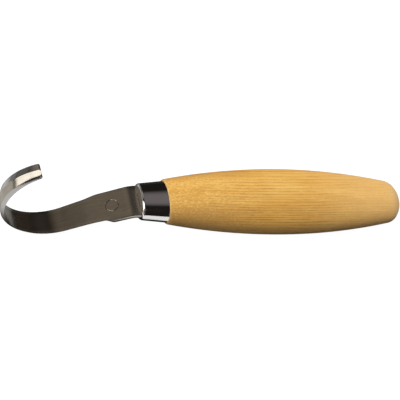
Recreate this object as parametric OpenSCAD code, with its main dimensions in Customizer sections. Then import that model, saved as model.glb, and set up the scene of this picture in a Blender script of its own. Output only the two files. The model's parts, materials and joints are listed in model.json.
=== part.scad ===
// Hook knife for spoon and bowl carving: a bevelled, double-edged steel hook on a barrel-shaped
// oval birch handle, with a tapered oval ferrule where the tang goes into the wood.
//
// Millimetres. The knife lies as it rests on a bench, on the bottom of the hook and the belly of
// the handle, with the hook opening upwards (+Z). The handle points along +X and the blade's
// width lies along Y. The origin is on the bench, under the middle of the knife's bounding box.
// Every piece is drawn with the handle's axis on X and the ferrule's front face at x = 0, and
// as_it_lies() then lays it down.

/* [Handle] */
// Length of wood that shows, from the ferrule to the end of the butt
handle_l = 99.8; // [80:0.2:130]
// Width of the oval grip at its widest place
handle_w = 28.8; // [22:0.2:34]
// Distance from the ferrule to the widest place
belly_l = 46.9; // [30:0.1:60]
// Width that the sides run down to at the butt, before it is rounded
butt_w = 16; // [12:0.2:22]
// Height of the oval over its width, for the grip, the ferrule and the spigot
oval_ratio = 0.67; // [0.55:0.01:0.9]
// Radius of the domed end of the butt
butt_dome_r = 12; // [12:1:60]
// Radius of the rounded edge between the sides and the butt
butt_edge_r = 6; // [2:0.5:7]
// How far the wood stands out past the ferrule, all round
shoulder_step = 0.7; // [0.1:0.05:1.5]

/* [Ferrule] */
// Length of the ferrule
ferrule_l = 11; // [8:0.2:20]
// Width of the ferrule at its back, against the wood
ferrule_w = 18.3; // [14:0.1:22]
// Width of the ferrule at its front, towards the blade
ferrule_front_w = 16.3; // [12:0.1:20]
// Thickness of the sheet metal
ferrule_wall = 0.8; // [0.5:0.05:1.5]
// Radius of the rounded front rim
rim_r = 1.1; // [0.3:0.1:2]

/* [Shank] */
// Width of the blade where it meets the ferrule
shank_w = 14.4; // [10:0.1:18]
// Thickness of the steel
blade_t = 2; // [1.4:0.1:3]
// Length that leaves the ferrule straight, before the first bend
shank_lead = 0.6; // [0.4:0.1:5]
// Radius of the first bend
shank_bend_r = 10; // [6:0.5:30]
// How far the shank points below the handle's axis, in degrees
shank_drop = 25; // [5:1:35]
// Length of the straight, flat stretch of the shank
shank_l = 12; // [6:0.5:30]
// How much narrower the shank gets before the edges begin
shank_narrowing = 0.8; // [0:0.1:3]
// Length of the tang inside the handle
tang_l = 62; // [30:1:80]
// Width of the tang where it passes through the ferrule
tang_w = 6.4; // [4:0.1:8]
// Width of the tang at its far end
tang_end_w = 4.4; // [3:0.1:7]

/* [Hook] */
// Radius of the hook, on its hollow side
hook_r = 19.4; // [12:0.2:40]
// How far the hook is bent round from the throat to the tip, in degrees
hook_sweep = 184.8; // [90:0.2:200]
// How far the throat points below the handle's axis, in degrees
throat_drop = 31.3; // [5:0.1:45]
// Radius of the slight bend between the shank and the throat
throat_bend_r = 53; // [20:1:120]
// Length of the straight throat, before the hook starts to curve
throat_l = 8.4; // [0:0.2:30]
// Width of the blade where both edges have begun
hook_w = 11.9; // [8:0.1:16]
// Width of the blade at its tip
tip_w = 6.2; // [4:0.1:12]
// Thickness of the steel at the tip
tip_t = 1.2; // [0.8:0.1:2]
// Radius of the rounded corners of the tip
tip_corner_r = 0.8; // [0.3:0.1:2]
// How far the blade is twisted at its tip, its outer side towards -Y, in degrees
tip_twist = 25; // [0:1:35]
// Length over which the twist grows, back from the tip
twist_l = 30; // [15:1:45]

/* [Edges] */
// Width of the bevel ground along the -Y edge
near_bevel_w = 1.3; // [1:0.1:4]
// Width of the bevel ground along the +Y edge
far_bevel_w = 2.6; // [1:0.1:4]
// Distance from the ferrule to the start of the -Y edge, along the steel
near_edge_start = 11; // [8:0.5:30]
// Distance from the ferrule to the start of the +Y edge, along the steel
far_edge_start = 15.5; // [8:0.5:30]
// Length over which the -Y bevel comes to its full width
near_run_in = 4; // [2:0.5:15]
// Length over which the +Y bevel comes to its full width
far_run_in = 7; // [2:0.5:15]

/* [Touchmark] */
// Diameter of the plain ring struck into the shank
mark_d = 5.6; // [3:0.2:9]
// Width of the struck line
mark_line_w = 0.5; // [0.3:0.1:1]
// Depth of the struck line
mark_depth = 0.15; // [0.05:0.05:0.3]

/* [Hidden] */
// Clearance between the ferrule and the wooden spigot that it is pressed onto
spigot_gap = 0.05;
// Clearance around the tang in the ferrule's slot
slot_gap = 0.15;
// Wood or glue between the widest corner of the tang and the bore's wall
bore_margin = 0.15;
// Depth of the bore past the end of the tang
bore_past = 1.5;
// Thickness left at a sharpened edge
edge_land = 0.12;
// How far cuts run on past the faces they open
cut_past = 1;
// Small flat broken along the corners of the steel that are not sharpened
edge_break = 0.25;
// Width of the rounded corner at the front of the wood
shoulder_break = 0.5;
// Radians in a degree
rad = PI / 180;
// Segments round the oval pieces and the bore
round_fn = 72;
bore_fn = 48;

steel = [0.42, 0.40, 0.37];
bright_steel = [0.72, 0.72, 0.73];
birch = [0.85, 0.64, 0.34];
amber = [0.62, 0.45, 0.18];

// ---- Outline of the handle: [half width, distance from the ferrule's front face] ----

belly_x = ferrule_l + belly_l;
butt_x = ferrule_l + handle_l;
shoulder_half = ferrule_w / 2 + shoulder_step;
belly_half = handle_w / 2;

// Radius of the arc that is level at the belly and reaches half width a at a distance l
function belly_r(a, l) = (l * l + pow(belly_half - a, 2)) / (2 * (belly_half - a));
front_r = belly_r(shoulder_half, belly_l);
back_r = belly_r(butt_w / 2, butt_x - belly_x);
back_c = [belly_half - back_r, belly_x];
dome_c = [0, butt_x - butt_dome_r];

// Centre of a circle of radius r that touches two circles from the inside
function inside_both(c1, r1, c2, r2, r) =
    let (v = c2 - c1, d = norm(v), m = r1 - r, n = r2 - r,
         along = (d * d + m * m - n * n) / (2 * d), off = sqrt(m * m - along * along))
    c1 + v * along / d + [-v.y, v.x] * off / d;
edge_c = inside_both(back_c, back_r, dome_c, butt_dome_r, butt_edge_r);

function bearing(v) = atan2(v.y, v.x);
sides_end = bearing(edge_c - back_c);
dome_start = bearing(edge_c - dome_c);

// Points of an arc from bearing a0 to bearing a1
function arc(c, r, a0, a1, n) = [for (i = [0:n]) let (a = a0 + (a1 - a0) * i / n) c + r * [cos(a), sin(a)]];

grip_outline = concat(
    [[shoulder_half - shoulder_break, ferrule_l]],
    arc([belly_half - front_r, belly_x], front_r, -asin((belly_l - shoulder_break) / front_r), 0, 12),
    arc(back_c, back_r, 0, sides_end, 12),
    arc(edge_c, butt_edge_r, sides_end, dome_start, 8),
    arc(dome_c, butt_dome_r, dome_start, 90, 5));

// ---- Line of the blade's hollow side, seen from the side: [x, z] ----

shank_top = [0, blade_t / 2];
hook_end_heading = throat_drop - hook_sweep;
s_shank = shank_lead + shank_bend_r * shank_drop * rad;
s_shank_end = s_shank + shank_l;
s_throat = s_shank_end + throat_bend_r * (throat_drop - shank_drop) * rad;
s_hook = s_throat + throat_l;
s_tip = s_hook + hook_r * hook_sweep * rad;

// Heading of the steel, in degrees below the handle's axis, at a distance s from the ferrule
function heading(s) =
    s < shank_lead ? 0 :
    s < s_shank ? (s - shank_lead) / shank_bend_r / rad :
    s < s_shank_end ? shank_drop :
    s < s_throat ? shank_drop + (s - s_shank_end) / throat_bend_r / rad :
    s < s_hook ? throat_drop :
    throat_drop - (s - s_hook) / hook_r / rad;

// Steps from one heading to another along a bend, and straight on
function bend(r, a, b) = r * [sin(a) - sin(b), cos(b) - cos(a)];
function ahead(l, a) = -l * [cos(a), sin(a)];

p_lead = shank_top + ahead(shank_lead, 0);
p_shank = p_lead + bend(shank_bend_r, 0, shank_drop);
p_shank_end = p_shank + ahead(shank_l, shank_drop);
p_throat = p_shank_end + bend(throat_bend_r, shank_drop, throat_drop);
p_hook = p_throat + ahead(throat_l, throat_drop);

function hollow_line(s) =
    s < shank_lead ? shank_top + ahead(s, 0) :
    s < s_shank ? p_lead + bend(shank_bend_r, 0, heading(s)) :
    s < s_shank_end ? p_shank + ahead(s - s_shank, shank_drop) :
    s < s_throat ? p_shank_end + bend(throat_bend_r, shank_drop, heading(s)) :
    s < s_hook ? p_throat + ahead(s - s_throat, throat_drop) :
    p_hook - bend(hook_r, throat_drop, heading(s));

// ---- Section of the blade at a distance s ----

function share(s, from, over) = min(1, max(0, (s - from) / over));
function eased(s, from, over) = let (u = share(s, from, over)) u * u * (3 - 2 * u);
function mix(a, b, u) = a + (b - a) * u;

function thickness(s) = mix(blade_t, tip_t, share(s, s_shank_end, s_tip - s_shank_end));
both_edges = far_edge_start + far_run_in;

// Half width on one side, whose edge starts at from and is full after run
function half_width(s, from, run) =
    mix((shank_w - shank_narrowing * s / both_edges) / 2,
        mix(hook_w, tip_w, (s - both_edges) / (s_tip - both_edges)) / 2,
        eased(s, from, run))
    - tip_loss(s);
function tip_loss(s) =
    let (u = min(max(0, s - s_tip + tip_corner_r), tip_corner_r))
    tip_corner_r - sqrt(tip_corner_r ^ 2 - u ^ 2);

// Half of the six-sided section: [y, distance out from the hollow side]
function side_points(s, from, run, bevel) =
    let (w = half_width(s, from, run), g = eased(s, from, run), t = thickness(s))
    [[w, 0], [w, mix(t - edge_break, edge_land, g)], [w - mix(edge_break, bevel, g), t]];

// Point of the section q = [y, distance out], turned by the twist and set on the blade's line
function place(s, q) =
    let (p = hollow_line(s), a = heading(s), w = tip_twist * eased(s, s_tip - twist_l, twist_l),
         y = q.x * cos(w) - q.y * sin(w), out = q.x * sin(w) + q.y * cos(w))
    [p.x + out * sin(a), y, p.y - out * cos(a)];

function section(s) =
    let (n = side_points(s, near_edge_start, near_run_in, near_bevel_w),
         f = side_points(s, far_edge_start, far_run_in, far_bevel_w))
    [for (q = [[-n[0].x, n[0].y], [-n[1].x, n[1].y], [-n[2].x, n[2].y], f[2], f[1], f[0]]) place(s, q)];

function steps(from, to, n) = [for (i = [1:n]) from + (to - from) * i / n];
tip_corner_s = s_tip - tip_corner_r;
stations = concat([0, shank_lead], steps(shank_lead, s_shank, 6), steps(s_shank, s_shank_end, 12),
    steps(s_shank_end, s_throat, 6), steps(s_throat, s_hook, 10), steps(s_hook, tip_corner_s, 66),
    [for (a = [30:30:90]) tip_corner_s + tip_corner_r * sin(a)]);
sections = [for (s = stations) section(s)];
section_n = 6;

// ---- How the knife lies: tilted until the hook and the belly both touch the bench ----

function turned_x(p, a) = p.x * cos(a) + p.y * sin(a);
function turned_z(p, a) = p.y * cos(a) - p.x * sin(a);
function lowest(points, a) = min([for (p = points) turned_z(p, a)]);

blade_side = [for (ring = sections) for (p = ring) [p.x, p.z]];
grip_side = [for (p = grip_outline) for (k = [-1, 1]) [p.y, k * oval_ratio * p.x]];

// Each round turns the knife by the height still left under one of its two touching places
function settle(a, rounds) =
    rounds == 0 ? a :
    settle(a + atan((lowest(grip_side, a) - lowest(blade_side, a)) / butt_x), rounds - 1);
lie_tilt = settle(0, 14);
lie_x = [for (p = concat(blade_side, grip_side)) turned_x(p, lie_tilt)];
lie_shift = [-(min(lie_x) + max(lie_x)) / 2, 0, -lowest(concat(blade_side, grip_side), lie_tilt)];

module as_it_lies() {
    translate(lie_shift) rotate([0, lie_tilt, 0]) children();
}

// ---- Inside sizes shared by the pieces that fit together ----

ferrule_half = ferrule_w / 2;
front_half = ferrule_front_w / 2;
// Half width of the ferrule's outside at a distance x from its front face
function taper(x) = mix(front_half, ferrule_half, x / ferrule_l);
bore_r = norm([tang_w, blade_t]) / 2 + bore_margin;
bore_end = tang_l + bore_past;
spigot_front = ferrule_wall + spigot_gap;

// Solid of revolution about X of an outline [half width, x], pressed flat to an oval, in quarters
module oval(outline, ratio) {
    for (quarter = [0:3])
        scale([1, 1, ratio]) rotate([0, 90, 0]) rotate([0, 0, 90 * quarter])
            rotate_extrude(angle = 90, $fn = round_fn) polygon(outline);
}

// Tapered oval plug that sits inward of the ferrule's outside by inset, the same all round
module plug(x0, x1, inset) {
    mid = taper((x0 + x1) / 2);
    oval([[0, x0], [taper(x0) - inset, x0], [taper(x1) - inset, x1], [0, x1]],
         (oval_ratio * mid - inset) / (mid - inset));
}

// Tang, from inside the straight start of the shank
module tang() {
    translate([0, 0, -blade_t / 2]) linear_extrude(blade_t)
        polygon([[-shank_lead, -tang_w / 2], [0, -tang_w / 2], [tang_l, -tang_end_w / 2],
                 [tang_l, tang_end_w / 2], [0, tang_w / 2], [-shank_lead, tang_w / 2]]);
}

// The hook, throat and shank: one run of six-sided sections with flat ends
module hook() {
    last = len(sections) - 1;
    polyhedron(
        points = [for (ring = sections) each ring],
        faces = concat(
            [[for (i = [section_n - 1:-1:0]) i]],
            [for (k = [0:last - 1]) for (i = [0:section_n - 1])
                let (a = k * section_n, b = a + section_n, j = (i + 1) % section_n)
                [a + i, a + j, b + j, b + i]],
            [[for (i = [0:section_n - 1]) last * section_n + i]]),
        convexity = 6);
}

module touchmark() {
    at = hollow_line((s_shank + s_shank_end) / 2);
    translate([at.x, 0, at.y]) rotate([0, -shank_drop, 0]) translate([0, 0, -mark_depth])
        difference() {
            cylinder(h = 2 * mark_depth, d = mark_d, $fn = bore_fn);
            translate([0, 0, -mark_depth])
                cylinder(h = 4 * mark_depth, d = mark_d - 2 * mark_line_w, $fn = bore_fn);
        }
}

// Runs a flat shape, drawn as [z, y], along X
module along_x(from, to) {
    translate([from, 0, 0]) rotate([0, 90, 0]) linear_extrude(to - from) children();
}

module bore(from) {
    translate([from, 0, 0]) rotate([0, 90, 0]) cylinder(h = bore_end - from, r = bore_r, $fn = bore_fn);
}

// ---- The pieces ----

// Piece to draw

// One piece of steel: hook, shank and the tang inside the handle
module blade() {
    color(steel) as_it_lies() {
        difference() {
            hook();
            touchmark();
        }
        tang();
    }
}

// Drawn oval cap with a slot for the tang
module ferrule() {
    rim_c = [front_half - rim_r, rim_r];
    color(bright_steel) as_it_lies() difference() {
        oval(concat([[0, 0]], arc(rim_c, rim_r, -90, 0, 6), [[ferrule_half, ferrule_l], [0, ferrule_l]]),
             oval_ratio);
        plug(ferrule_wall, ferrule_l + cut_past, ferrule_wall);
        along_x(-cut_past, ferrule_wall + cut_past)
            square([blade_t, tang_w] + 2 * slot_gap * [1, 1], center = true);
    }
}

// Birch handle with its spigot under the ferrule and the bore for the tang
module handle() {
    color(birch) as_it_lies() difference() {
        union() {
            oval(concat([[0, ferrule_l]], grip_outline), oval_ratio);
            plug(spigot_front, ferrule_l, ferrule_wall + spigot_gap);
        }
        bore(0);
    }
}

// Set resin that fills the bore round the tang
module tang_adhesive() {
    color(amber) as_it_lies() difference() {
        bore(spigot_front);
        tang();
    }
}

blade();
ferrule();
handle();
tang_adhesive();
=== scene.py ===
import json
import math
import bmesh
import bpy
from mathutils import Matrix, Vector


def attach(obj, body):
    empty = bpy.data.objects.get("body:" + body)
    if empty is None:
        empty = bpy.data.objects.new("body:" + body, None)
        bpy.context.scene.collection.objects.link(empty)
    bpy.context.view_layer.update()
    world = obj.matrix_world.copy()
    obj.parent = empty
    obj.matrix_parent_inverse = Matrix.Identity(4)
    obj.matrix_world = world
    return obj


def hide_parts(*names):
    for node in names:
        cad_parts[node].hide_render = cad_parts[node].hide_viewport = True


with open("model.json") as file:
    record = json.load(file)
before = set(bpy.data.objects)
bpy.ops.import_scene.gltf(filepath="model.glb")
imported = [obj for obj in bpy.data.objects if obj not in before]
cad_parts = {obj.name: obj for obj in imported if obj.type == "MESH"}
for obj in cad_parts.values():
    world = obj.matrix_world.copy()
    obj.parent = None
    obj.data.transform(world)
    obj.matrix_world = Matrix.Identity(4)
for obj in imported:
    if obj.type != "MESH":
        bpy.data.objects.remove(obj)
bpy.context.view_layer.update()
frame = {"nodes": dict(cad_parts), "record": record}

mm = 0.001

# ---- Sizes of the knife, in millimetres, along its own handle ----

handle_l, belly_half, belly_l, butt_half = 99.79, 14.4, 46.9, 8.0
butt_dome_r, butt_edge_r, oval = 12.0, 6.0, 0.6697
ferrule_l, ferrule_half, ferrule_front_half, ferrule_wall, rim_r = 11.0, 9.15, 8.15, 0.8, 1.1
shoulder_half, shoulder_round = 9.85, 0.55
spigot_front, spigot_gap, bore_r, bore_end = 0.85, 0.05, 3.503, 63.5
shank_w, blade_t, tip_t, shank_narrowing = 14.4, 2.0, 1.2, 0.8
shank_lead, shank_bend_r, shank_drop, shank_l = 0.6, 10.0, 25.0, 12.0
throat_bend_r, throat_drop, throat_l = 53.0, 31.3, 8.4
hook_r, hook_sweep, hook_w, tip_w, tip_corner_r = 19.4, 184.8, 11.9, 6.2, 0.8
tip_twist, twist_l = 25.0, 30.0
near_edge_start, near_run_in, near_bevel_w = 11.0, 4.0, 1.3
far_edge_start, far_run_in, far_bevel_w = 15.5, 7.0, 2.6
tang_l, tang_w, tang_end_w = 62.0, 6.4, 4.4
edge_land, edge_break = 0.10, 0.25
mark_r, mark_line_r, mark_lift = 2.55, 0.26, 0.11
clear_of_bench = 0.002
slot_play, slot_corner_r, slot_cutter_l = 0.3, 0.25, 6
lathe_merge, cut_merge = 0.002, 0.001

mounts = {m["name"]: m for m in frame["record"]["mounts"]}
knife_origin = Vector(mounts["ferrule_front"]["pos_m"]) + Vector((0, 0, clear_of_bench * mm))
along_handle = Vector(mounts["grip"]["axis"])
lie_tilt = math.atan2(-along_handle.z, along_handle.x)
lay_down = Matrix.Translation(knife_origin) @ Matrix.Rotation(lie_tilt, 4, "Y")


# ---- Bench work: the moves every piece is made with ----

def deselect():
    if bpy.context.object and bpy.context.object.mode != "OBJECT":
        bpy.ops.object.mode_set(mode="OBJECT")
    bpy.ops.object.select_all(action="DESELECT")


def take_up(piece):
    deselect()
    piece.select_set(True)
    bpy.context.view_layer.objects.active = piece


def edit(piece):
    take_up(piece)
    bpy.ops.object.mode_set(mode="EDIT")
    bpy.ops.mesh.select_mode(type="VERT")


def pick_vertices(piece, test):
    """Selects, in edit mode, the vertices whose place passes the test."""
    work = bmesh.from_edit_mesh(piece.data)
    for v in work.verts:
        v.select_set(test(v.co))
    work.select_flush(True)
    bmesh.update_edit_mesh(piece.data)


def draw_outline(name, points):
    """A chain of edges through (x, y) points in millimetres, extruded from one vertex."""
    deselect()
    first = Vector((points[0][0], points[0][1], 0)) * mm
    bpy.ops.mesh.primitive_plane_add(size=mm, location=(0, 0, 0))
    chain = bpy.context.object
    chain.name = chain.data.name = name
    edit(chain)
    bpy.ops.mesh.select_all(action="SELECT")
    bpy.ops.mesh.merge(type="CENTER")
    bpy.ops.transform.translate(value=first)
    for a, b in zip(points, points[1:]):
        step = Vector((b[0] - a[0], b[1] - a[1], 0)) * mm
        bpy.ops.mesh.extrude_region_move(TRANSFORM_OT_translate={"value": step})
    return chain


def turn_on_lathe(piece, steps):
    """Spins the outline once round the handle's axis, and closes the seam and the poles."""
    bpy.ops.mesh.select_all(action="SELECT")
    bpy.ops.mesh.spin(steps=steps, angle=2 * math.pi, center=(0, 0, 0), axis=(1, 0, 0))
    bpy.ops.mesh.select_all(action="SELECT")
    bpy.ops.mesh.remove_doubles(threshold=lathe_merge * mm)
    bpy.ops.mesh.normals_make_consistent(inside=False)


def press_oval(piece, test, ratio):
    pick_vertices(piece, test)
    bpy.ops.transform.resize(value=(1, 1, ratio), center_override=(0, 0, 0))


def apply_modifier(piece, kind, **settings):
    take_up(piece)
    m = piece.modifiers.new(kind.lower(), kind)
    for key, value in settings.items():
        setattr(m, key, value)
    bpy.ops.object.modifier_apply(modifier=m.name)


def cut(piece, cutter):
    """Takes the cutter's shape out of the piece, and merges the corners that the cut leaves doubled."""
    apply_modifier(piece, "BOOLEAN", operation="DIFFERENCE", object=cutter, solver="EXACT")
    bpy.data.objects.remove(cutter)
    edit(piece)
    bpy.ops.mesh.select_all(action="SELECT")
    bpy.ops.mesh.remove_doubles(threshold=cut_merge * mm)
    deselect()


def lay_on_bench(piece):
    take_up(piece)
    piece.matrix_world = lay_down @ piece.matrix_world
    bpy.ops.object.transform_apply(location=True, rotation=True, scale=True)


def smooth(piece, degrees):
    take_up(piece)
    bpy.ops.object.shade_smooth_by_angle(angle=math.radians(degrees), keep_sharp_edges=False)


def paint_mask(piece, name, value_at):
    """Stores a value from 0 to 1 on every vertex, from its place in the knife's own axes."""
    mask = piece.data.attributes.new(name, "FLOAT", "POINT")
    mask.data.foreach_set("value", [value_at(v.co / mm) for v in piece.data.vertices])


def share(x, start, over):
    return min(1.0, max(0.0, (x - start) / over))


def eased(x, start, over):
    u = share(x, start, over)
    return u * u * (3 - 2 * u)


def mix(a, b, u):
    return a + (b - a) * u


def arc(centre, r, a0, a1, n):
    turns = [math.radians(a0 + (a1 - a0) * i / n) for i in range(n + 1)]
    return [(centre[0] + r * math.cos(t), centre[1] + r * math.sin(t)) for t in turns]


# ---- Birch grip ----

def grip_outline():
    """Points (x, half width) of the wood, from the spigot's end round to the middle of the butt."""
    belly_x, butt_x = ferrule_l + belly_l, ferrule_l + handle_l

    def belly_r(half, length):
        drop = belly_half - half
        return (length * length + drop * drop) / (2 * drop)

    front_r = belly_r(shoulder_half, belly_l)
    back_r = belly_r(butt_half, butt_x - belly_x)
    back_c = Vector((belly_x, belly_half - back_r))
    dome_c = Vector((butt_x - butt_dome_r, 0))
    # The butt's rounded edge touches the sides and the dome from inside
    v, m, n = dome_c - back_c, back_r - butt_edge_r, butt_dome_r - butt_edge_r
    d = v.length
    along = (d * d + m * m - n * n) / (2 * d)
    off = math.sqrt(m * m - along * along)
    edge_c = back_c + v * along / d + Vector((v.y, -v.x)) * off / d
    sides_end = math.degrees(math.atan2(*reversed(edge_c - back_c)))
    dome_start = math.degrees(math.atan2(*reversed(edge_c - dome_c)))

    shoulder_rise = 0.03
    front = [(ferrule_l, shoulder_half - shoulder_round)]
    front += arc((ferrule_l + shoulder_round, shoulder_half - shoulder_round + shoulder_rise),
                 shoulder_round, 165, 98, 5)
    sweep = math.degrees(math.asin((belly_l - shoulder_round) / front_r))
    barrel = arc((belly_x, belly_half - front_r), front_r, 90 + sweep, 90, 34)
    taper = arc(back_c, back_r, 90, sides_end, 34)[1:]
    edge = arc(edge_c, butt_edge_r, sides_end, dome_start, 14)[1:]
    dome = arc(dome_c, butt_dome_r, dome_start, 0, 9)[1:-1]
    # The spigot fills the ferrule, and its front corner is broken
    inner, face_ring, corner_in, corner_back = ferrule_wall + spigot_gap, 5.5, 0.3, 0.4
    spigot = [(spigot_front, 0), (spigot_front, face_ring),
              (spigot_front, ferrule_front_half - inner - corner_in),
              (spigot_front + corner_back, ferrule_front_half - inner),
              (ferrule_l, ferrule_half - inner)]
    return spigot + front + barrel + taper + edge + dome + [(butt_x, 0)]


def make_grip():
    grip = draw_outline("birch_grip", grip_outline())
    turn_on_lathe(grip, 128)
    press_oval(grip, lambda p: True, oval)
    # The spigot is pressed a little flatter, so that its gap to the ferrule is even all round
    inner = ferrule_wall + spigot_gap
    mid = (ferrule_front_half + ferrule_half) / 2
    spigot_ratio = (oval * mid - inner) / (mid - inner)

    def on_spigot(p):
        round_r = math.hypot(p.y, p.z / oval)
        return p.x < ferrule_l * mm + 1e-7 and round_r < (ferrule_half - inner + 0.05) * mm

    press_oval(grip, on_spigot, spigot_ratio / oval)
    # The bore's cutter stands proud of the spigot
    proud = 2
    deselect()
    bpy.ops.mesh.primitive_cylinder_add(
        vertices=48, radius=bore_r * mm, depth=(bore_end + proud) * mm,
        location=((bore_end - proud) / 2 * mm, 0, 0), rotation=(0, math.pi / 2, 0))
    cut(grip, bpy.context.object)

    # A painted highlight lightens the wood's front corner along the shoulder, and the wood is paler
    # round the butt's edge
    def wear_and_sheen(p):
        corner = 1 - share(abs(p.x - ferrule_l - 0.1), 0.1, 0.25)
        return corner if math.hypot(p.y, p.z / oval) > ferrule_half - 0.3 else 0
    paint_mask(grip, "wear_and_sheen", wear_and_sheen)
    end_grain_l, end_grain_fade = 7.5, 6.5
    end_grain_from = ferrule_l + handle_l - end_grain_l
    paint_mask(grip, "butt", lambda p: eased(p.x, end_grain_from, end_grain_fade))
    smooth(grip, 40)
    return grip


# ---- Drawn metal ferrule ----

def make_ferrule():
    rim = arc((rim_r, ferrule_front_half - rim_r), rim_r, 180, 95, 12)
    side_rings, face_rings = (0.1, 0.4, 0.7, 0.97, 1), (0, 2.4, 4.8, 6.4)
    side = [(mix(rim[-1][0], ferrule_l, u), mix(rim[-1][1], ferrule_half, u)) for u in side_rings]
    face = [(0, r) for r in face_rings]
    ferrule = draw_outline("drawn_ferrule", face + rim + side)
    turn_on_lathe(ferrule, 160)
    press_oval(ferrule, lambda p: True, oval)
    apply_modifier(ferrule, "SOLIDIFY", thickness=ferrule_wall * mm, offset=-1,
                   use_even_offset=True)
    # Slot for the tang, with softly rounded corners
    deselect()
    bpy.ops.mesh.primitive_cube_add(size=1, location=(0, 0, 0))
    slot = bpy.context.object
    edit(slot)
    bpy.ops.mesh.select_all(action="SELECT")
    slot_size = (slot_cutter_l * mm, (tang_w + slot_play) * mm, (blade_t + slot_play) * mm)
    bpy.ops.transform.resize(value=slot_size)
    bpy.ops.mesh.bevel(offset=slot_corner_r * mm, segments=3, affect="EDGES")
    cut(ferrule, slot)

    # Both ends show wear, lightened further as a painted highlight: the rounded front rim, and the lip
    # against the wood
    def wear_and_sheen(p):
        return max(1 - share(p.x, 0.05, 0.75), share(p.x, ferrule_l - 0.6, 0.6))
    paint_mask(ferrule, "wear_and_sheen", wear_and_sheen)
    smooth(ferrule, 35)
    return ferrule


# ---- Forged and ground blade: a flat blank, struck, then bent, with its tang ----

shank_from = shank_lead + shank_bend_r * math.radians(shank_drop)
shank_to = shank_from + shank_l
throat_from = shank_to + throat_bend_r * math.radians(throat_drop - shank_drop)
hook_from = throat_from + throat_l
tip_at = hook_from + hook_r * math.radians(hook_sweep)
both_edges = far_edge_start + far_run_in


def heading(s):
    """Direction of the steel below the handle's axis, in degrees, at s from the ferrule."""
    if s < shank_lead:
        return 0.0
    if s < shank_from:
        return math.degrees((s - shank_lead) / shank_bend_r)
    if s < shank_to:
        return shank_drop
    if s < throat_from:
        return shank_drop + math.degrees((s - shank_to) / throat_bend_r)
    if s < hook_from:
        return throat_drop
    return throat_drop - math.degrees((s - hook_from) / hook_r)


def bend(r, a, b):
    a, b = math.radians(a), math.radians(b)
    return r * Vector((math.sin(a) - math.sin(b), math.cos(b) - math.cos(a)))


def ahead(length, a):
    a = math.radians(a)
    return -length * Vector((math.cos(a), math.sin(a)))


def hollow_line(s):
    """Point (x, z) of the blade's hollow side at s from the ferrule."""
    a = heading(s)
    p = Vector((0, blade_t / 2))
    if s < shank_lead:
        return p + ahead(s, 0)
    p = p + ahead(shank_lead, 0)
    if s < shank_from:
        return p + bend(shank_bend_r, 0, a)
    p = p + bend(shank_bend_r, 0, shank_drop)
    if s < shank_to:
        return p + ahead(s - shank_from, shank_drop)
    p = p + ahead(shank_l, shank_drop)
    if s < throat_from:
        return p + bend(throat_bend_r, shank_drop, a)
    p = p + bend(throat_bend_r, shank_drop, throat_drop)
    if s < hook_from:
        return p + ahead(s - throat_from, throat_drop)
    return p + ahead(throat_l, throat_drop) - bend(hook_r, throat_drop, a)


def half_width(s, start, run):
    if s < 0:
        return mix(tang_w, tang_end_w, -s / tang_l) / 2
    u = min(max(0, s - tip_at + tip_corner_r), tip_corner_r)
    tip_loss = tip_corner_r - math.sqrt(max(0, tip_corner_r ** 2 - u ** 2))
    ground = mix(hook_w, tip_w, (s - both_edges) / (tip_at - both_edges)) / 2
    bar = (shank_w - shank_narrowing * s / both_edges) / 2
    return mix(bar, ground, eased(s, start, run)) - tip_loss


def rounded(a, b, c, r, n):
    """The corner at b between a and c, rounded with n steps."""
    u, v = (a - b).normalized(), (c - b).normalized()
    half = math.acos(max(-1, min(1, u.dot(v)))) / 2
    reach = min(r / math.tan(half), 0.45 * (a - b).length, 0.45 * (c - b).length)
    p, q = b + u * reach, b + v * reach
    made = []
    for i in range(n + 1):
        t = i / n
        made.append(p * (1 - t) ** 2 + b * 2 * t * (1 - t) + q * t * t)
    return made


def side_corners(s, start, run, bevel):
    w, g = half_width(s, start, run), 0 if s < 0 else eased(s, start, run)
    t = mix(blade_t, tip_t, share(s, shank_to, tip_at - shank_to))
    land = mix(t - edge_break, edge_land, g)
    return [Vector((w, 0)), Vector((w, land)), Vector((w - mix(edge_break, bevel, g), t))], g


def section(s):
    """Points [y, distance out] round the blade at s, the same number at every s."""
    near, gn = side_corners(s, near_edge_start, near_run_in, near_bevel_w)
    far, gf = side_corners(s, far_edge_start, far_run_in, far_bevel_w)
    near = [Vector((-p.x, p.y)) for p in near]
    # How round each corner is, where the bar is plain and where it is ground
    hollow_side, edge, outer_side = (0.3, 0.05), (0.2, 0.03), (0.2, 0.35)
    corners = [(near[0], mix(*hollow_side, gn)), (near[1], mix(*edge, gn)),
               (near[2], mix(*outer_side, gn)), (far[2], mix(*outer_side, gf)),
               (far[1], mix(*edge, gf)), (far[0], mix(*hollow_side, gf))]
    # How many faces lie between each corner and the next
    spans = (1, 2, 4, 2, 1, 6)
    ring = []
    for k, (p, r) in enumerate(corners):
        before, (following, r_following) = corners[k - 1][0], corners[(k + 1) % 6]
        made = rounded(before, p, following, r, 3)
        ring += made
        after = rounded(p, following, corners[(k + 2) % 6][0], r_following, 3)[0]
        ring += [made[-1].lerp(after, i / spans[k]) for i in range(1, spans[k])]
    return ring


def stations():
    """Distances from the ferrule at which the blank is shaped; the tang is on the minus side."""
    def steps(a, b, n):
        return [mix(a, b, i / n) for i in range(1, n + 1)]
    corner = tip_at - tip_corner_r
    at = [-tang_l] + steps(-tang_l, -2, 10) + [-0.8, -0.01, 0.0]
    for start, end, count in ((0, shank_from, 14), (shank_from, shank_to, 24),
                              (shank_to, throat_from, 14), (throat_from, hook_from, 16),
                              (hook_from, corner, 150)):
        at += steps(start, end, count)
    return at + [corner + tip_corner_r * math.sin(math.radians(a)) for a in range(15, 91, 15)]


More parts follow.
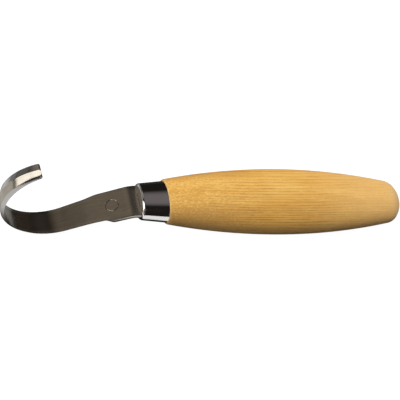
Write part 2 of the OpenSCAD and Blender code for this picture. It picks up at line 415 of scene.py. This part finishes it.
def bent(p):
    """Where a point of the flat blank goes when the blade is bent and its tip twisted."""
    s = -p.x
    a = math.radians(heading(s))
    w = math.radians(tip_twist * eased(s, tip_at - twist_l, twist_l))
    y = p.y * math.cos(w) + p.z * math.sin(w)
    out = p.y * math.sin(w) - p.z * math.cos(w)
    line = hollow_line(s)
    return Vector((line.x + out * math.sin(a), y, line.y - out * math.cos(a)))


def grinding(p):
    """Where the edge on this side starts, how far it runs in, and how wide its bevel is."""
    return ((near_edge_start, near_run_in, near_bevel_w) if p.y < 0
            else (far_edge_start, far_run_in, far_bevel_w))


def make_blade():
    at = stations()
    rings = [section(s) for s in at]
    count = len(rings[0])
    deselect()
    bpy.ops.mesh.primitive_circle_add(
        vertices=count, radius=mm, fill_type="NGON",
        location=(-at[0] * mm, 0, 0), rotation=(0, math.pi / 2, 0))
    blade = bpy.context.object
    blade.name = blade.data.name = "hook_blade"
    bpy.ops.object.transform_apply(location=True, rotation=True, scale=True)
    edit(blade)
    bpy.ops.mesh.select_all(action="SELECT")
    for s0, s1 in zip(at, at[1:]):
        step = ((s0 - s1) * mm, 0, 0)
        bpy.ops.mesh.extrude_region_move(TRANSFORM_OT_translate={"value": step})
    bpy.ops.object.mode_set(mode="OBJECT")
    # Every ring of the bar is forged and ground to its section
    along = sorted(blade.data.vertices, key=lambda v: -v.co.x)
    for k, s in enumerate(at):
        ring = along[k * count:(k + 1) * count]
        ring.sort(key=lambda v: math.atan2(v.co.z, v.co.y))
        for v, q in zip(ring, rings[k]):
            v.co = Vector((-s, q.x, -q.y)) * mm
    edit(blade)
    bpy.ops.mesh.select_all(action="SELECT")
    bpy.ops.mesh.normals_make_consistent(inside=False)
    # The plain ring is struck while the bar is flat
    deselect()
    mark_at = (-(shank_from + shank_to) / 2 * mm, 0, mark_lift * mm)
    bpy.ops.mesh.primitive_torus_add(
        major_radius=mark_r * mm, minor_radius=mark_line_r * mm,
        major_segments=64, minor_segments=16, location=mark_at)
    cut(blade, bpy.context.object)

    flat = [v.co / mm for v in blade.data.vertices]
    blank = blade.data.attributes.new("blank", "FLOAT_VECTOR", "POINT")
    blank.data.foreach_set("vector", [c for p in flat for c in p])

    def ground(p):
        s = -p.x
        start, run, bevel = grinding(p)
        w, g = half_width(s, start, run), eased(s, start, run)
        return g * share(abs(p.y), w - bevel - 0.1, 0.2) if p.z < -0.02 and s > 0 else 0

    # The edges show wear, lightened further as a painted highlight along them
    def wear_and_sheen(p):
        s = -p.x
        start, run = grinding(p)[:2]
        return share(abs(p.y), half_width(s, start, run) - 0.45, 0.3) if s > 0 else 0
    paint_mask(blade, "ground", ground)
    paint_mask(blade, "wear_and_sheen", wear_and_sheen)
    for v, p in zip(blade.data.vertices, flat):
        v.co = bent(p) * mm
    smooth(blade, 32)
    return blade


# ---- Shader building ----

class Wiring:
    """Puts nodes in a tree and wires them, so that each material reads as a list of steps."""

    def __init__(self, tree):
        self.tree, self.column = tree, 0

    def node(self, kind, **settings):
        n = self.tree.nodes.new(kind)
        self.column += 1
        n.location = (180 * self.column, -220 * (self.column % 4))
        for key, value in settings.items():
            setattr(n, key, value)
        return n

    def feed(self, socket, value):
        if isinstance(value, bpy.types.NodeSocket):
            self.tree.links.new(value, socket)
        elif value is not None:
            socket.default_value = value

    def math(self, operation, a, b=None, clamp=False):
        n = self.node("ShaderNodeMath", operation=operation, use_clamp=clamp)
        for socket, value in zip(n.inputs, (a, b)):
            self.feed(socket, value)
        return n.outputs[0]

    def times(self, a, b):
        return self.math("MULTIPLY", a, b)

    def vector(self, operation, a, b=None):
        n = self.node("ShaderNodeVectorMath", operation=operation)
        self.feed(n.inputs[0], a)
        self.feed(n.inputs[1], b)
        return n.outputs["Value" if operation in ("LENGTH", "DOT_PRODUCT") else "Vector"]

    def noise(self, vector, scale, detail=3.0, roughness=0.5):
        n = self.node("ShaderNodeTexNoise")
        self.feed(n.inputs["Vector"], vector)
        for name, value in (("Scale", scale), ("Detail", detail), ("Roughness", roughness)):
            self.feed(n.inputs[name], value)
        return n.outputs["Fac"]

    def streaks(self, place, per_mm, detail=3.0):
        """Noise drawn out by its own count per millimetre along each axis."""
        return self.noise(self.vector("MULTIPLY", place, per_mm), 1.0, detail=detail)

    def spread(self, value, low, high, to_low=0.0, to_high=1.0):
        n = self.node("ShaderNodeMapRange", interpolation_type="SMOOTHSTEP")
        for socket, v in zip(n.inputs, (value, low, high, to_low, to_high)):
            self.feed(socket, v)
        return n.outputs[0]

    def blend(self, factor, a, b):
        n = self.node("ShaderNodeMix", data_type="RGBA", blend_type="MIX")
        self.feed(n.inputs[0], factor)
        self.feed(n.inputs[6], a)
        self.feed(n.inputs[7], b)
        return n.outputs[2]

    def group(self, tree, **values):
        n = self.node("ShaderNodeGroup", node_tree=tree)
        for name, value in values.items():
            self.feed(n.inputs[name.replace("_", " ")], value)
        return n.outputs


def new_group(name, inputs, outputs):
    tree = bpy.data.node_groups.new(name, "ShaderNodeTree")
    for socket, kind, value in inputs:
        made = tree.interface.new_socket(socket, in_out="INPUT", socket_type="NodeSocket" + kind)
        if value is not None:
            made.default_value = value
    for socket, kind in outputs:
        tree.interface.new_socket(socket, in_out="OUTPUT", socket_type="NodeSocket" + kind)
    wires = Wiring(tree)
    return tree, wires, wires.node("NodeGroupInput").outputs, wires.node("NodeGroupOutput").inputs


def group_edge_wear_and_sheen():
    tree, w, given, out = new_group(
        "edge_wear_and_sheen", [("Place", "Vector", None), ("Mask", "Float", 0.0), ("Patch Size", "Float", 1.5)],
        [("Wear_And_Sheen", "Float")])
    patch = w.noise(given["Place"], given["Patch Size"], detail=4.0, roughness=0.65)
    broken = w.spread(patch, 0.35, 0.65, 0.45, 1.0)
    w.feed(out["Wear_And_Sheen"], w.math("MULTIPLY", given["Mask"], broken, clamp=True))
    return tree


def group_fine_lines():
    """Fine streaks that run along X of the place given, in millimetres."""
    tree, w, given, out = new_group(
        "fine_lines", [("Place", "Vector", None), ("Length", "Float", 8.0), ("Width", "Float", 0.1)],
        [("Lines", "Float"), ("Broad", "Float")])
    stretch = w.node("ShaderNodeCombineXYZ")
    w.feed(stretch.inputs[0], w.math("DIVIDE", 1.0, given["Length"]))
    for k in (1, 2):
        w.feed(stretch.inputs[k], w.math("DIVIDE", 1.0, given["Width"]))
    drawn = w.vector("MULTIPLY", given["Place"], stretch.outputs[0])
    w.feed(out["Lines"], w.noise(drawn, 1.0, detail=3.0, roughness=0.6))
    w.feed(out["Broad"], w.streaks(drawn, (0.6, 0.22, 0.22), detail=2.0))
    return tree


def group_soft_patches():
    tree, w, given, out = new_group(
        "soft_patches", [("Place", "Vector", None), ("Size", "Float", 5.0)],
        [("Patches", "Float"), ("Specks", "Float")])
    per = w.math("DIVIDE", 1.0, given["Size"])
    w.feed(out["Patches"], w.noise(given["Place"], per, detail=4.0, roughness=0.55))
    fine = w.noise(given["Place"], w.times(per, 9.0), detail=2.0, roughness=0.7)
    w.feed(out["Specks"], fine)
    return tree


edge_wear_and_sheen, fine_lines, soft_patches = group_edge_wear_and_sheen(), group_fine_lines(), group_soft_patches()


def new_material(name):
    material = bpy.data.materials.new(name)
    material.use_nodes = True
    shader = material.node_tree.nodes["Principled BSDF"]
    return material, Wiring(material.node_tree), shader


def knife_place(w):
    """The object's own coordinates turned back to the handle's axis, in millimetres."""
    at = w.node("ShaderNodeTexCoord")
    back = w.node("ShaderNodeMapping", vector_type="POINT")
    unlay = lay_down.inverted()
    w.feed(back.inputs["Vector"], at.outputs["Object"])
    back.inputs["Scale"].default_value = (1 / mm,) * 3
    back.inputs["Rotation"].default_value = unlay.to_euler()
    back.inputs["Location"].default_value = unlay.translation / mm
    return back.outputs["Vector"]


def attribute(w, name):
    return w.node("ShaderNodeAttribute", attribute_name=name, attribute_type="GEOMETRY")


def bump(w, shader, height, strength, distance):
    n = w.node("ShaderNodeBump")
    n.inputs["Strength"].default_value = strength
    n.inputs["Distance"].default_value = distance
    w.feed(n.inputs["Height"], height)
    w.feed(shader.inputs["Normal"], n.outputs["Normal"])


def oiled_birch():
    base_dark, base_light = (0.66, 0.345, 0.072, 1), (0.80, 0.470, 0.120, 1)
    drift_dark, drift_light = (0.62, 0.315, 0.070, 1), (0.84, 0.545, 0.170, 1)
    fibre_dark, fibre_light = (0.52, 0.255, 0.055, 1), (0.90, 0.59, 0.18, 1)
    fleck_dark, fleck_light = (0.52, 0.27, 0.07, 1), (0.90, 0.60, 0.19, 1)
    ring_brown, pore_brown = (0.36, 0.150, 0.022, 1), (0.40, 0.19, 0.05, 1)
    toward_butt, end_grain = (0.86, 0.56, 0.245, 1), (0.72, 0.53, 0.33, 1)
    grip_painted_shade, shoulder_highlight_paint = (0.42, 0.225, 0.070, 1), (0.88, 0.66, 0.36, 1)
    heart, rings_per_mm = (0.0, -58.0, -44.0), 1.02

    material, w, shader = new_material("oiled_birch")
    place = knife_place(w)
    split = w.node("ShaderNodeSeparateXYZ")
    w.feed(split.inputs[0], place)
    x = split.outputs[0]
    # Growth rings: wide arcs round a heart that lies well outside the blank
    wander = w.streaks(place, (0.012, 0.06, 0.06), detail=2.0)
    from_heart = w.vector("SUBTRACT", place, heart)
    reach = w.vector("LENGTH", w.vector("MULTIPLY", from_heart, (0.0, 1.0, 1.0)))
    grown = w.math("ADD", reach, w.times(wander, 0.9))
    uneven = w.streaks(place, (0.004, 0.35, 0.35), detail=1.0)
    grown = w.math("ADD", grown, w.times(uneven, 1.6))
    ring = w.math("FRACT", w.times(grown, rings_per_mm))
    late = w.spread(ring, 0.45, 0.95)
    line = w.times(late, w.spread(ring, 0.95, 1.0, 1.0, 0.0))
    # The rings show best where the middle of the grip cuts them cleanly
    middle = w.times(w.spread(x, 18.0, 48.0), w.spread(x, 66.0, 100.0, 1.0, 0.15))
    shown = w.math("ADD", 0.25, w.times(middle, 0.75))
    strong = w.times(w.times(line, shown),
                    w.spread(w.streaks(place, (0.02, 0.12, 0.12)), 0.3, 0.7, 0.45, 1.0))
    fibre = w.group(fine_lines, Place=place, Length=9.0, Width=0.22)
    pores = w.group(fine_lines, Place=place, Length=1.1, Width=0.13)
    patches = w.group(soft_patches, Place=place, Size=9.0)
    drawn_out = w.vector("MULTIPLY", place, (0.55, 1.0, 1.0))
    flecks = w.group(soft_patches, Place=drawn_out, Size=5.5)
    near_front = w.spread(x, 12.0, 58.0, 1.0, 0.25)

    # Broad tones drift through the wood, with the rings and fibres over them
    drift = w.streaks(place, (0.025, 0.16, 0.16), detail=2.0)
    wood = w.blend(patches["Patches"], base_dark, base_light)
    wood = w.blend(w.spread(drift, 0.40, 0.66, 0.0, 0.55), wood, drift_dark)
    wood = w.blend(w.spread(drift, 0.30, 0.46, 0.45, 0.0), wood, drift_light)
    dashes = w.streaks(place, (0.16, 1.3, 1.3), detail=2.0)
    strong = w.times(strong, w.spread(dashes, 0.32, 0.6, 0.35, 1.0))
    wood = w.blend(strong, wood, ring_brown)
    wood = w.blend(w.spread(fibre["Lines"], 0.42, 0.70, 0.0, 0.45), wood, fibre_dark)
    wood = w.blend(w.spread(fibre["Broad"], 0.5, 0.8, 0.0, 0.35), wood, fibre_light)
    wood = w.blend(w.spread(x, 60.0, 106.0, 0.0, 0.4), wood, toward_butt)
    speck = w.times(w.spread(flecks["Specks"], 0.50, 0.70), near_front)
    wood = w.blend(w.times(speck, 0.7), wood, fleck_light)
    shade = w.times(w.spread(flecks["Specks"], 0.46, 0.30), near_front)
    wood = w.blend(w.times(shade, 0.7), wood, fleck_dark)
    # Painted shade darkens both sides of the grip by the ferrule
    sides = w.spread(w.math("ABSOLUTE", split.outputs[1]), 5.5, 10.5)
    side_painted_shade = w.times(sides, w.spread(x, 14.0, 56.0, 0.55, 0.0))
    wood = w.blend(side_painted_shade, wood, grip_painted_shade)
    pore = w.spread(pores["Lines"], 0.66, 0.76)
    wood = w.blend(w.times(pore, 0.45), wood, pore_brown)
    # End grain at the butt is paler and greyer
    butt = attribute(w, "butt").outputs["Fac"]
    wood = w.blend(w.times(butt, 0.35), wood, end_grain)
    # Painted highlight: a thin pale line along the wood's front shoulder edge, broken into patches
    mask = attribute(w, "wear_and_sheen").outputs["Fac"]
    wear_sheen = w.group(edge_wear_and_sheen, Place=place, Mask=mask, Patch_Size=1.5)["Wear_And_Sheen"]
    wood = w.blend(w.times(wear_sheen, 0.35), wood, shoulder_highlight_paint)
    w.feed(shader.inputs["Base Color"], wood)
    rough = w.spread(patches["Patches"], 0.3, 0.7, 0.40, 0.52)
    open_grain = w.math("ADD", butt, pore, clamp=True)
    rough = w.math("ADD", rough, w.times(open_grain, 0.12))
    w.feed(shader.inputs["Roughness"], rough)
    shader.inputs["Specular IOR Level"].default_value = 0.28
    relief = w.math("SUBTRACT", w.times(fibre["Lines"], 0.35),
                    w.times(pore, 0.5))
    relief = w.math("SUBTRACT", relief, w.times(strong, 0.25))
    bump(w, shader, relief, 0.35, 0.00012)
    return material


def satin_steel():
    bar_dark, bar_light = (0.31, 0.275, 0.225, 1), (0.37, 0.335, 0.280, 1)
    line_dark, line_light = (0.22, 0.195, 0.16, 1), (0.46, 0.42, 0.355, 1)
    ground_dark, ground_light = (0.37, 0.355, 0.34, 1), (0.54, 0.53, 0.515, 1)
    speck_dark, bend_painted_shade = (0.17, 0.14, 0.11, 1), (0.11, 0.088, 0.070, 1)
    shank_painted_highlight, edge_wear_highlight = (0.60, 0.56, 0.50, 1), (0.62, 0.59, 0.53, 1)
    wheel_slant = math.radians(78)

    material, w, shader = new_material("satin_steel")
    blank = attribute(w, "blank").outputs["Vector"]
    ground = attribute(w, "ground").outputs["Fac"]
    mask = attribute(w, "wear_and_sheen").outputs["Fac"]
    rolled = w.group(fine_lines, Place=blank, Length=7.0, Width=0.16)
    turned = w.node("ShaderNodeVectorRotate", rotation_type="Z_AXIS")
    turned.inputs["Angle"].default_value = wheel_slant
    w.feed(turned.inputs["Vector"], blank)
    wheel = w.group(fine_lines, Place=turned.outputs[0], Length=2.5, Width=0.12)
    patches = w.group(soft_patches, Place=blank, Size=4.5)
    wear_sheen = w.group(edge_wear_and_sheen, Place=blank, Mask=mask, Patch_Size=0.9)["Wear_And_Sheen"]

    steel = w.blend(w.spread(patches["Patches"], 0.3, 0.7), bar_dark, bar_light)
    steel = w.blend(w.spread(rolled["Lines"], 0.35, 0.7, 0.0, 0.35), steel, line_light)
    steel = w.blend(w.spread(rolled["Broad"], 0.35, 0.65, 0.25, 0.0), steel, line_dark)
    steel = w.blend(w.spread(patches["Specks"], 0.62, 0.8, 0.0, 0.35), steel, speck_dark)
    # Painted shade darkens and browns the throat and the start of the hook, and a painted highlight
    # lightens the shank's bend by the ferrule
    split = w.node("ShaderNodeSeparateXYZ")
    w.feed(split.inputs[0], blank)
    bend_shade_amount = w.times(w.spread(split.outputs[0], -42.0, -14.0, 0.55, 0.0),
                  w.spread(split.outputs[0], -74.0, -60.0, 0.0, 1.0))
    steel = w.blend(bend_shade_amount, steel, bend_painted_shade)
    # Painted highlight: the shank's bend by the ferrule is lightened
    steel = w.blend(w.spread(split.outputs[0], -6.0, -2.5, 0.0, 0.45), steel, shank_painted_highlight)
    bright = w.blend(wheel["Lines"], ground_dark, ground_light)
    steel = w.blend(ground, steel, bright)
    # Worn edges, lightened further as a painted highlight
    steel = w.blend(w.times(wear_sheen, 0.35), steel, edge_wear_highlight)
    w.feed(shader.inputs["Base Color"], steel)
    shader.inputs["Metallic"].default_value = 1.0
    base = w.spread(patches["Patches"], 0.3, 0.7, 0.19, 0.22)
    streaky = w.times(w.math("SUBTRACT", rolled["Lines"], 0.5), 0.10)
    rough = w.math("ADD", base, streaky)
    rough = w.math("SUBTRACT", rough, w.times(ground, 0.08))
    w.feed(shader.inputs["Roughness"], rough)
    not_ground = w.math("SUBTRACT", 1.0, ground)
    scratch = w.math("ADD", w.times(rolled["Lines"], not_ground),
                     w.times(wheel["Lines"], ground))
    relief = w.math("ADD", scratch, w.times(patches["Specks"], 0.5))
    bump(w, shader, relief, 0.10, 0.00005)
    return material


def polished_ferrule():
    plate_dark, plate_light = (0.78, 0.775, 0.78, 1), (0.88, 0.87, 0.86, 1)
    line_light, edge_wear_highlight = (0.86, 0.86, 0.85, 1), (0.92, 0.91, 0.89, 1)

    material, w, shader = new_material("polished_ferrule")
    place = knife_place(w)
    swap = w.node("ShaderNodeSeparateXYZ")
    w.feed(swap.inputs[0], place)
    round_it = w.node("ShaderNodeCombineXYZ")
    # Polishing marks run round the ferrule
    w.feed(round_it.inputs[0], swap.outputs[1])
    w.feed(round_it.inputs[1], swap.outputs[0])
    buffed = w.group(fine_lines, Place=round_it.outputs[0], Length=14.0, Width=0.09)
    patches = w.group(soft_patches, Place=place, Size=5.0)
    mask = attribute(w, "wear_and_sheen").outputs["Fac"]
    wear_sheen = w.group(edge_wear_and_sheen, Place=place, Mask=mask, Patch_Size=2.0)["Wear_And_Sheen"]
    metal = w.blend(patches["Patches"], plate_dark, plate_light)
    metal = w.blend(w.spread(buffed["Lines"], 0.45, 0.75, 0.0, 0.2), metal, line_light)
    # Worn ends, lightened further as a painted highlight
    metal = w.blend(w.times(wear_sheen, 0.5), metal, edge_wear_highlight)
    w.feed(shader.inputs["Base Color"], metal)
    shader.inputs["Metallic"].default_value = 1.0
    rough = w.spread(patches["Patches"], 0.35, 0.7, 0.055, 0.11)
    rough = w.math("ADD", rough, w.spread(patches["Specks"], 0.6, 0.8, 0.0, 0.05))
    rough = w.math("ADD", rough, w.times(wear_sheen, 0.06))
    w.feed(shader.inputs["Roughness"], rough)
    relief = w.math("ADD", buffed["Lines"], w.times(patches["Patches"], 2.0))
    bump(w, shader, relief, 0.05, 0.00003)
    return material


def set_resin():
    material, w, shader = new_material("set_resin")
    place = knife_place(w)
    patches = w.group(soft_patches, Place=place, Size=6.0)
    resin_dark, resin_light = (0.32, 0.17, 0.04, 1), (0.48, 0.28, 0.08, 1)
    resin = w.blend(patches["Patches"], resin_dark, resin_light)
    w.feed(shader.inputs["Base Color"], resin)
    w.feed(shader.inputs["Roughness"], w.spread(patches["Specks"], 0.3, 0.7, 0.3, 0.5))
    bump(w, shader, patches["Specks"], 0.2, 0.0001)
    return material


def finish_with(piece, material, node):
    piece.data.materials.clear()
    piece.data.materials.append(material)
    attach(piece, "root")
    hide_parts(node)


# ---- Bench, light and camera ----

def rotate_to_world(v):
    return (Matrix.Rotation(lie_tilt, 3, "Y") @ Vector(v)).normalized()


view_elevation, view_side = math.radians(34), math.radians(19.5)
lens, sensor_w, camera_away = 901.5, 36, 4.0
look_along, look_up = 26.2, 0.72
bench_w, bench_drop, bench_glow = 6, -0.0002, 0.975
bench_body, dark_card, pale_top = (0.12, 0.125, 0.14, 1), (0.02, 0.02, 0.02, 1), (0.80, 0.80, 0.80, 1)

# Dim reflectors round the dark room: towards, where each fades in, where it is full, colour
room_dark = (0.012, 0.010, 0.009, 1)
reflectors = (((0.30, 0.20, 0.93), 0.82, 0.99, (0.15, 0.135, 0.13, 1)),
              ((-0.385, 0.53, 0.756), 0.915, 1.015, (0.375, 0.335, 0.285, 1)),
              ((-0.77, 0.60, 0.22), 0.90, 0.99, (0.20, 0.19, 0.17, 1)),
              ((-0.35, 0.92, 0.18), 0.90, 0.98, (0.18, 0.17, 0.16, 1)),
              ((-0.40, -0.86, 0.30), 0.90, 0.98, (0.18, 0.17, 0.16, 1)),
              ((0.62, -0.66, 0.42), 0.93, 0.99, (0.18, 0.17, 0.16, 1)),
              ((-0.03, -0.68, 0.73), 0.97, 0.995, (0.17, 0.16, 0.15, 1)),
              ((0.76, 0.53, 0.36), 0.88, 0.985, (0.11, 0.092, 0.080, 1)))

# Softboxes: name, direction, distance, size, watts, the point each shines at, shows in metal
softboxes = (("key_softbox", (-0.54, -0.24, 0.80), 1.1, 0.52, 2.6, (0.0, 0, 0.015), True),
             ("left_softbox", (-0.90, -0.08, 0.41), 1.1, 0.64, 3.8, (-0.02, 0, 0.015), True),
             ("top_softbox", (-0.08, 0.18, 0.98), 1.4, 0.50, 10.5, (0.07, 0, 0.01), False),
             ("right_softbox", (0.80, 0.06, 0.60), 1.3, 0.50, 6.6, (0.09, 0, 0.01), False),
             ("back_softbox", (-0.22, 0.93, 0.26), 1.4, 0.70, 6.5, (0.07, 0, 0.01), False))

ce, se = math.cos(view_elevation), math.sin(view_elevation)
cs, ss = math.cos(view_side), math.sin(view_side)
to_right = rotate_to_world((cs, -ss * se, ss * ce))
to_top = rotate_to_world((0, ce, se))
to_camera = rotate_to_world((-ss, -cs * se, cs * ce))


def set_camera():
    camera = bpy.data.objects.new("camera", bpy.data.cameras.new("camera"))
    bpy.context.scene.collection.objects.link(camera)
    camera.data.lens, camera.data.sensor_width = lens, sensor_w
    camera.data.clip_start, camera.data.clip_end = 0.1, 20
    look = lay_down @ Vector((look_along * mm, 0, 0)) + to_top * look_up * mm
    turn = Matrix((to_right, to_top, to_camera)).transposed().to_4x4()
    camera.matrix_world = Matrix.Translation(look + to_camera * camera_away) @ turn
    bpy.context.scene.camera = camera


def softbox(name, direction, distance, size, watts, aim, in_metal):
    """A square light that shines at a point from a direction."""
    light = bpy.data.lights.new(name, "AREA")
    light.shape, light.size, light.energy = "SQUARE", size, watts
    box = bpy.data.objects.new(name, light)
    direction = Vector(direction).normalized()
    turn = direction.to_track_quat("Z", "Y").to_matrix().to_4x4()
    box.matrix_world = Matrix.Translation(Vector(aim) + direction * distance) @ turn
    bpy.context.scene.collection.objects.link(box)
    box.visible_glossy = in_metal


def set_bench():
    deselect()
    bpy.ops.mesh.primitive_plane_add(size=bench_w, location=(0, 0, bench_drop))
    bench = bpy.context.object
    bench.name = "bench"
    material, w, shader = new_material("pale_bench")
    shader.inputs["Base Color"].default_value = bench_body
    shader.inputs["Roughness"].default_value = 0.9
    # The bench is nearly burnt out to white to the eye, pale in the metal, and fills the
    # wood's shade only a little
    glow, pale = w.node("ShaderNodeEmission"), w.node("ShaderNodeBsdfDiffuse")
    glow.inputs["Strength"].default_value = bench_glow
    place = w.node("ShaderNodeSeparateXYZ")
    w.feed(place.inputs[0], w.node("ShaderNodeTexCoord").outputs["Object"])
    x, y = place.outputs[0], place.outputs[1]
    # To the metal the bench is a dark card, left pale in front of the knife but not far out
    # before the hook, out past the hook, out past the grip and, more dimly, behind the shank
    card = w.times(w.spread(x, -0.05, -0.03, 1.0, 0.0),
                  w.spread(y, -0.20, -0.16, 1.0, 0.0))
    not_card = w.math("SUBTRACT", 1.0, card)
    # The dark card close along the knife is painted shadow: it stands for the knife's contact shadow as
    # the metal sees it
    in_front = w.times(w.spread(y, -0.021, -0.015, 1.0, 0.0), not_card)
    slant = w.math("ADD", y, w.times(x, 0.35))
    past_hook = w.times(w.spread(x, -0.10, -0.075, 1.0, 0.0),
                       w.spread(slant, -0.01, 0.03, 1.0, 0.3))
    past_hook = w.times(past_hook, not_card)
    past_grip = w.times(w.spread(x, 0.05, 0.10, 0.0, 0.6),
                       w.spread(y, 0.10, 0.20, 1.0, 0.0))
    by_shank = w.times(w.spread(x, -0.045, -0.030, 0.55, 0.0),
                      w.spread(y, 0.004, 0.012))
    by_shank = w.times(by_shank, w.spread(x, -0.10, -0.085))
    shown = w.math("MAXIMUM", w.math("MAXIMUM", in_front, by_shank),
                   w.math("MAXIMUM", past_hook, past_grip))
    w.feed(pale.inputs["Color"], w.blend(shown, dark_card, pale_top))
    path = w.node("ShaderNodeLightPath")
    burnt = w.node("ShaderNodeAddShader")
    to_metal, to_eye = w.node("ShaderNodeMixShader"), w.node("ShaderNodeMixShader")
    joints = ((burnt, (shader.outputs[0], glow.outputs[0])),
              (to_metal, (path.outputs["Is Glossy Ray"], shader.outputs[0], pale.outputs[0])),
              (to_eye, (path.outputs["Is Camera Ray"], to_metal.outputs[0], burnt.outputs[0])))
    for joined, values in joints:
        for socket, value in zip(joined.inputs, values):
            w.feed(socket, value)
    w.feed(material.node_tree.nodes["Material Output"].inputs["Surface"], to_eye.outputs[0])
    bench.data.materials.append(material)


def set_light():
    world = bpy.data.worlds.new("studio")
    bpy.context.scene.world = world
    world.use_nodes = True
    w = Wiring(world.node_tree)
    back = world.node_tree.nodes["Background"]
    at = w.node("ShaderNodeTexCoord")
    # A dark room with dim, soft reflectors round it, so that the steel reads as steel from
    # every side
    sky, room = at.outputs["Generated"], room_dark
    for towards, edge, full, colour in reflectors:
        near = w.vector("DOT_PRODUCT", sky, Vector(towards).normalized())
        room = w.blend(w.spread(near, edge, full), room, colour)
    path = w.node("ShaderNodeLightPath")
    seen = w.blend(path.outputs["Is Camera Ray"], room, (1, 1, 1, 1))
    w.feed(back.inputs["Color"], seen)
    for box in softboxes:
        softbox(*box)
    bpy.context.scene.view_settings.view_transform = "Standard"


set_camera()
set_bench()
set_light()

grip = make_grip()
ferrule = make_ferrule()
blade = make_blade()
for piece in (grip, ferrule, blade):
    lay_on_bench(piece)
finish_with(grip, oiled_birch(), "handle")
finish_with(ferrule, polished_ferrule(), "ferrule")
finish_with(blade, satin_steel(), "blade")
resin = frame["nodes"]["tang_adhesive"]
resin.data.materials.clear()
resin.data.materials.append(set_resin())
deselect()
